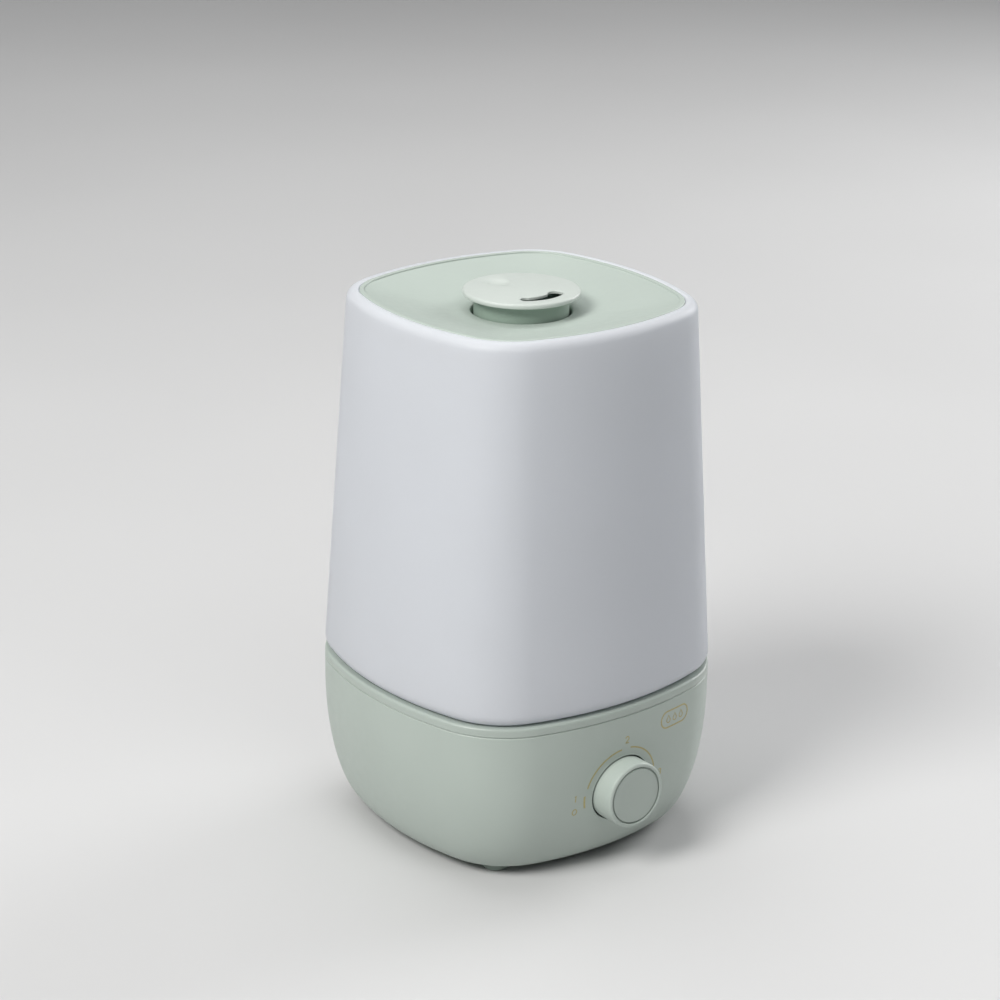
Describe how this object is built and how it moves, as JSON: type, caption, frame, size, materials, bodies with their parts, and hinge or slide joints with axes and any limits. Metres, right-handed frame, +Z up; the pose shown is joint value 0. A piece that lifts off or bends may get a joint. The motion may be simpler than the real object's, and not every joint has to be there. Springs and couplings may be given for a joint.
{
  "type": "cool mist humidifier",
  "caption": "Tabletop ultrasonic cool mist humidifier: bowl base with a dial, lift-off frosted tank, dished lid and a turning mist nozzle.",
  "frame": {"origin": "on the floor under the feet, on the vertical axis of the bowl and the nozzle", "axes": "+Z up; -Y is the front, where the dial is; +X is to the right seen from the front"},
  "size_m": [0.168, 0.1774, 0.2664],
  "materials": {
    "base_green": "fine satin moulded plastic, sage green",
    "tray_green": "satin moulded plastic, sage green",
    "nozzle_green": "fine satin moulded plastic, pale sage green",
    "frosted": "frosted translucent white plastic",
    "clear": "clear polished plastic",
    "white_plastic": "plain moulded plastic",
    "float_grey": "smooth grey plastic",
    "cream": "cream moulded plastic",
    "medium": "felted filter fibre",
    "rubber_grey": "soft rubber",
    "silicone": "translucent silicone",
    "steel": "zinc-plated steel",
    "brass": "polished brass",
    "aluminium": "stamped aluminium",
    "board": "solder-masked circuit board",
    "black_plastic": "black moulded plastic",
    "copper": "enamelled copper wire",
    "magnet": "nickel-plated magnet"
  },
  "bodies": {
    "root": {"base_casing": "base_green", "base_tray": "tray_green", "air_tower": "tray_green", "bottom_cover": "base_green", "rubber_feet": "rubber_grey", "cover_screws": "steel", "transducer_seal": "silicone", "transducer_disc": "brass", "transducer_bracket": "aluminium", "transducer_screws": "steel", "main_board": "board", "board_screws": "steel", "heat_sink": "aluminium", "capacitors": "black_plastic", "coil": "copper", "fan_housing": "black_plastic", "fan_duct": "white_plastic", "fan_screws": "steel", "lamp_dome": "clear", "lamp_board": "board", "switch_body": "black_plastic", "switch_nut": "brass", "switch_bracket": "steel", "dc_jack": "black_plastic", "float_pin": "steel", "reed_switch": "black_plastic", "cartridge_case": "cream", "cartridge_medium": "medium"},
    "dial": {"dial_knob": "base_green", "knob_cap": "base_green", "switch_shaft": "steel"},
    "fan": {"fan_rotor": "black_plastic"},
    "float": {"float_arm": "float_grey", "float_disc": "float_grey", "float_magnet": "magnet"},
    "valve": {"valve_plunger": "white_plastic", "valve_seal": "silicone"},
    "lid": {"top_lid": "base_green", "lid_gasket": "silicone"},
    "nozzle": {"mist_nozzle": "nozzle_green"},
    "tank": {"tank_shell": "frosted", "tank_bottom": "clear", "mist_chimney": "frosted", "chimney_seal": "silicone", "valve_housing": "white_plastic", "valve_cage": "white_plastic", "valve_spring": "steel"}
  },
  "joints": [
    {"name": "dial_turn", "type": "hinge", "parent": "root", "child": "dial", "pos_m": [0, -0.0755, 0.0416], "axis": [0, 1, 0], "range_deg": [0, 195]},
    {"name": "fan_spin", "type": "hinge", "parent": "root", "child": "fan", "pos_m": [-0.04, 0.036, 0.0146], "axis": [0, 0, 1], "continuous": true},
    {"name": "float_swing", "type": "hinge", "parent": "root", "child": "float", "pos_m": [-0.044, 0.024, 0.0665], "axis": [-1, 0, 0], "range_deg": [0, 10]},
    {"name": "tank_lift", "type": "slide", "parent": "root", "child": "tank", "axis": [0, 0, 1], "range_m": [0, 0.036]},
    {"name": "valve_drop", "type": "slide", "parent": "tank", "child": "valve", "axis": [0, 0, -1], "range_m": [0, 0.004], "deforming": ["valve_spring"]},
    {"name": "lid_lift", "type": "slide", "parent": "tank", "child": "lid", "axis": [0, 0, 1], "range_m": [0, 0.03]},
    {"name": "nozzle_turn", "type": "hinge", "parent": "lid", "child": "nozzle", "pos_m": [0, 0, 0.264], "axis": [0, 0, 1], "continuous": true}
  ],
  "couplings": [
    {"joint": "valve_drop", "follows": "tank_lift", "ratio": 0.11111}
  ]
}
